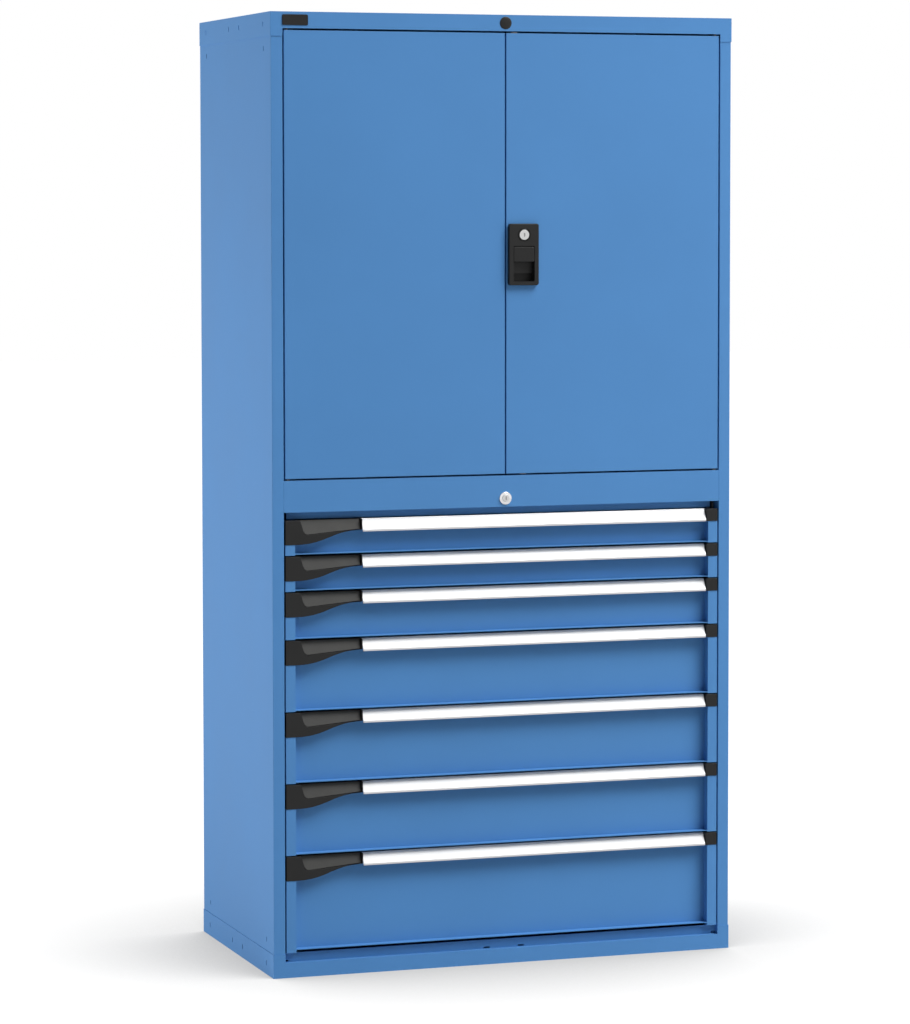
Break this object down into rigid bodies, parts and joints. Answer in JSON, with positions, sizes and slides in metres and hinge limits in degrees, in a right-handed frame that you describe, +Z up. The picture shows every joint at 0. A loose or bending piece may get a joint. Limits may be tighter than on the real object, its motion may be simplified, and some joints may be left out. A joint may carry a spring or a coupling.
{
  "type": "tool cabinet with doors",
  "caption": "Tall steel tool cabinet: a hinged double-door compartment with shelves above a stack of full-extension drawers with sloped label handles, thumb catches and a central drawer lock.",
  "frame": {"origin": "centre of the base's underside, on the floor, midway between the cap's sides and between the cap's front and back", "axes": "+X to the cabinet's right as seen from the front, +Y to the back, +Z up"},
  "size_m": [1.023, 0.5653, 2],
  "materials": {
    "blue_paint": "satin powder coat",
    "plated_steel": "zinc plated",
    "dark_steel": "blackened",
    "black_plastic": "fine grained moulding",
    "catch_plastic": "fine grained moulding",
    "lock_chrome": "polished",
    "strip_aluminium": "white label face over a satin extrusion"
  },
  "bodies": {
    "housing": {"top_cap": "blue_paint", "base_tray": "blue_paint", "side_panel_left": "blue_paint", "side_panel_right": "blue_paint", "back_panel": "blue_paint", "back_rivets": "plated_steel", "middle_floor": "blue_paint", "hinge_pins": "dark_steel", "shelves": "blue_paint", "shelf_brackets": "plated_steel", "runner_uprights": "plated_steel", "cabinet_rails": "plated_steel", "badge_plate": "black_plastic", "cap_plug": "black_plastic", "drawer_lock_body": "lock_chrome"},
    "left_door": {"left_door": "blue_paint"},
    "right_door": {"right_door": "blue_paint", "handle_housing": "black_plastic"},
    "paddle": {"handle_paddle": "black_plastic"},
    "rod_cam": {"rod_cam": "plated_steel"},
    "upper_rod": {"upper_rod": "plated_steel"},
    "lower_rod": {"lower_rod": "plated_steel"},
    "door_key": {"handle_lock_plug": "lock_chrome"},
    "drawer_key": {"drawer_lock_plug": "lock_chrome"},
    "lock_bar": {"lock_bar": "plated_steel"},
    "drawer_1": {"drawer_1_box": "blue_paint", "drawer_1_handle_strip": "strip_aluminium", "drawer_1_end_mouldings": "black_plastic"},
    "slides_1": {"drawer_1_slide_members": "plated_steel"},
    "catch_1": {"drawer_1_catch": "catch_plastic"},
    "drawer_2": {"drawer_2_box": "blue_paint", "drawer_2_handle_strip": "strip_aluminium", "drawer_2_end_mouldings": "black_plastic"},
    "slides_2": {"drawer_2_slide_members": "plated_steel"},
    "catch_2": {"drawer_2_catch": "catch_plastic"},
    "drawer_3": {"drawer_3_box": "blue_paint", "drawer_3_handle_strip": "strip_aluminium", "drawer_3_end_mouldings": "black_plastic"},
    "slides_3": {"drawer_3_slide_members": "plated_steel"},
    "catch_3": {"drawer_3_catch": "catch_plastic"},
    "drawer_4": {"drawer_4_box": "blue_paint", "drawer_4_handle_strip": "strip_aluminium", "drawer_4_end_mouldings": "black_plastic"},
    "slides_4": {"drawer_4_slide_members": "plated_steel"},
    "catch_4": {"drawer_4_catch": "catch_plastic"},
    "drawer_5": {"drawer_5_box": "blue_paint", "drawer_5_handle_strip": "strip_aluminium", "drawer_5_end_mouldings": "black_plastic"},
    "slides_5": {"drawer_5_slide_members": "plated_steel"},
    "catch_5": {"drawer_5_catch": "catch_plastic"},
    "drawer_6": {"drawer_6_box": "blue_paint", "drawer_6_handle_strip": "strip_aluminium", "drawer_6_end_mouldings": "black_plastic"},
    "slides_6": {"drawer_6_slide_members": "plated_steel"},
    "catch_6": {"drawer_6_catch": "catch_plastic"},
    "drawer_7": {"drawer_7_box": "blue_paint", "drawer_7_handle_strip": "strip_aluminium", "drawer_7_end_mouldings": "black_plastic"},
    "slides_7": {"drawer_7_slide_members": "plated_steel"},
    "catch_7": {"drawer_7_catch": "catch_plastic"}
  },
  "joints": [
    {"name": "left_door_swing", "type": "hinge", "parent": "housing", "child": "left_door", "pos_m": [-0.4755, -0.2703, 1.50065], "axis": [0, 0, -1], "range_deg": [0, 110]},
    {"name": "right_door_swing", "type": "hinge", "parent": "housing", "child": "right_door", "pos_m": [0.4755, -0.2703, 1.50065], "axis": [0, 0, 1], "range_deg": [0, 110]},
    {"name": "paddle_pull", "type": "hinge", "parent": "right_door", "child": "paddle", "pos_m": [0.0383, -0.2838, 1.5137], "axis": [-1, 0, 0], "range_deg": [0, 25], "stiffness_Nm_per_rad": 0.6, "springref_deg": -20.05},
    {"name": "rod_cam_turn", "type": "hinge", "parent": "right_door", "child": "rod_cam", "pos_m": [0.0383, -0.2467, 1.5007], "axis": [0, -1, 0], "range_deg": [0, 45]},
    {"name": "upper_rod_slide", "type": "slide", "parent": "right_door", "child": "upper_rod", "axis": [0, 0, -1], "range_m": [0, 0.00707]},
    {"name": "lower_rod_slide", "type": "slide", "parent": "right_door", "child": "lower_rod", "axis": [0, 0, 1], "range_m": [0, 0.00707]},
    {"name": "door_key_turn", "type": "hinge", "parent": "right_door", "child": "door_key", "pos_m": [0.0383, -0.2858, 1.5412], "axis": [0, 1, 0], "range_deg": [0, 90]},
    {"name": "drawer_key_turn", "type": "hinge", "parent": "housing", "child": "drawer_key", "pos_m": [0, -0.2763, 0.988], "axis": [0, -1, 0], "range_deg": [0, 90]},
    {"name": "lock_bar_slide", "type": "slide", "parent": "housing", "child": "lock_bar", "axis": [-1, 0, 0], "range_m": [0, 0.006]},
    {"name": "drawer_1_slide", "type": "slide", "parent": "housing", "child": "drawer_1", "axis": [0, -1, 0], "range_m": [0, 0.45]},
    {"name": "slides_1_slide", "type": "slide", "parent": "housing", "child": "slides_1", "axis": [0, -1, 0], "range_m": [0, 0.225]},
    {"name": "catch_1_press", "type": "hinge", "parent": "drawer_1", "child": "catch_1", "pos_m": [-0.3798, -0.27383, 0.92875], "axis": [-0.9965, -0.0303, -0.0784], "range_deg": [0, 8], "stiffness_Nm_per_rad": 0.15, "springref_deg": -11.46},
    {"name": "drawer_2_slide", "type": "slide", "parent": "housing", "child": "drawer_2", "axis": [0, -1, 0], "range_m": [0, 0.45]},
    {"name": "slides_2_slide", "type": "slide", "parent": "housing", "child": "slides_2", "axis": [0, -1, 0], "range_m": [0, 0.225]},
    {"name": "catch_2_press", "type": "hinge", "parent": "drawer_2", "child": "catch_2", "pos_m": [-0.3798, -0.27383, 0.85375], "axis": [-0.9965, -0.0303, -0.0784], "range_deg": [0, 8], "stiffness_Nm_per_rad": 0.15, "springref_deg": -11.46},
    {"name": "drawer_3_slide", "type": "slide", "parent": "housing", "child": "drawer_3", "axis": [0, -1, 0], "range_m": [0, 0.45]},
    {"name": "slides_3_slide", "type": "slide", "parent": "housing", "child": "slides_3", "axis": [0, -1, 0], "range_m": [0, 0.225]},
    {"name": "catch_3_press", "type": "hinge", "parent": "drawer_3", "child": "catch_3", "pos_m": [-0.3798, -0.27383, 0.77875], "axis": [-0.9965, -0.0303, -0.0784], "range_deg": [0, 8], "stiffness_Nm_per_rad": 0.15, "springref_deg": -11.46},
    {"name": "drawer_4_slide", "type": "slide", "parent": "housing", "child": "drawer_4", "axis": [0, -1, 0], "range_m": [0, 0.45]},
    {"name": "slides_4_slide", "type": "slide", "parent": "housing", "child": "slides_4", "axis": [0, -1, 0], "range_m": [0, 0.225]},
    {"name": "catch_4_press", "type": "hinge", "parent": "drawer_4", "child": "catch_4", "pos_m": [-0.3798, -0.27383, 0.67875], "axis": [-0.9965, -0.0303, -0.0784], "range_deg": [0, 8], "stiffness_Nm_per_rad": 0.15, "springref_deg": -11.46},
    {"name": "drawer_5_slide", "type": "slide", "parent": "housing", "child": "drawer_5", "axis": [0, -1, 0], "range_m": [0, 0.45]},
    {"name": "slides_5_slide", "type": "slide", "parent": "housing", "child": "slides_5", "axis": [0, -1, 0], "range_m": [0, 0.225]},
    {"name": "catch_5_press", "type": "hinge", "parent": "drawer_5", "child": "catch_5", "pos_m": [-0.3798, -0.27383, 0.52875], "axis": [-0.9965, -0.0303, -0.0784], "range_deg": [0, 8], "stiffness_Nm_per_rad": 0.15, "springref_deg": -11.46},
    {"name": "drawer_6_slide", "type": "slide", "parent": "housing", "child": "drawer_6", "axis": [0, -1, 0], "range_m": [0, 0.45]},
    {"name": "slides_6_slide", "type": "slide", "parent": "housing", "child": "slides_6", "axis": [0, -1, 0], "range_m": [0, 0.225]},
    {"name": "catch_6_press", "type": "hinge", "parent": "drawer_6", "child": "catch_6", "pos_m": [-0.3798, -0.27383, 0.37875], "axis": [-0.9965, -0.0303, -0.0784], "range_deg": [0, 8], "stiffness_Nm_per_rad": 0.15, "springref_deg": -11.46},
    {"name": "drawer_7_slide", "type": "slide", "parent": "housing", "child": "drawer_7", "axis": [0, -1, 0], "range_m": [0, 0.45]},
    {"name": "slides_7_slide", "type": "slide", "parent": "housing", "child": "slides_7", "axis": [0, -1, 0], "range_m": [0, 0.225]},
    {"name": "catch_7_press", "type": "hinge", "parent": "drawer_7", "child": "catch_7", "pos_m": [-0.3798, -0.27383, 0.22875], "axis": [-0.9965, -0.0303, -0.0784], "range_deg": [0, 8], "stiffness_Nm_per_rad": 0.15, "springref_deg": -11.46}
  ],
  "couplings": [
    {"joint": "paddle_pull", "follows": "upper_rod_slide", "rad_per_m": 61.707},
    {"joint": "rod_cam_turn", "follows": "upper_rod_slide", "rad_per_m": 111.07},
    {"joint": "lower_rod_slide", "follows": "upper_rod_slide", "ratio": 1},
    {"joint": "drawer_key_turn", "follows": "lock_bar_slide", "rad_per_m": 261.8},
    {"joint": "slides_1_slide", "follows": "drawer_1_slide", "ratio": 0.5},
    {"joint": "slides_2_slide", "follows": "drawer_2_slide", "ratio": 0.5},
    {"joint": "slides_3_slide", "follows": "drawer_3_slide", "ratio": 0.5},
    {"joint": "slides_4_slide", "follows": "drawer_4_slide", "ratio": 0.5},
    {"joint": "slides_5_slide", "follows": "drawer_5_slide", "ratio": 0.5},
    {"joint": "slides_6_slide", "follows": "drawer_6_slide", "ratio": 0.5},
    {"joint": "slides_7_slide", "follows": "drawer_7_slide", "ratio": 0.5}
  ]
}
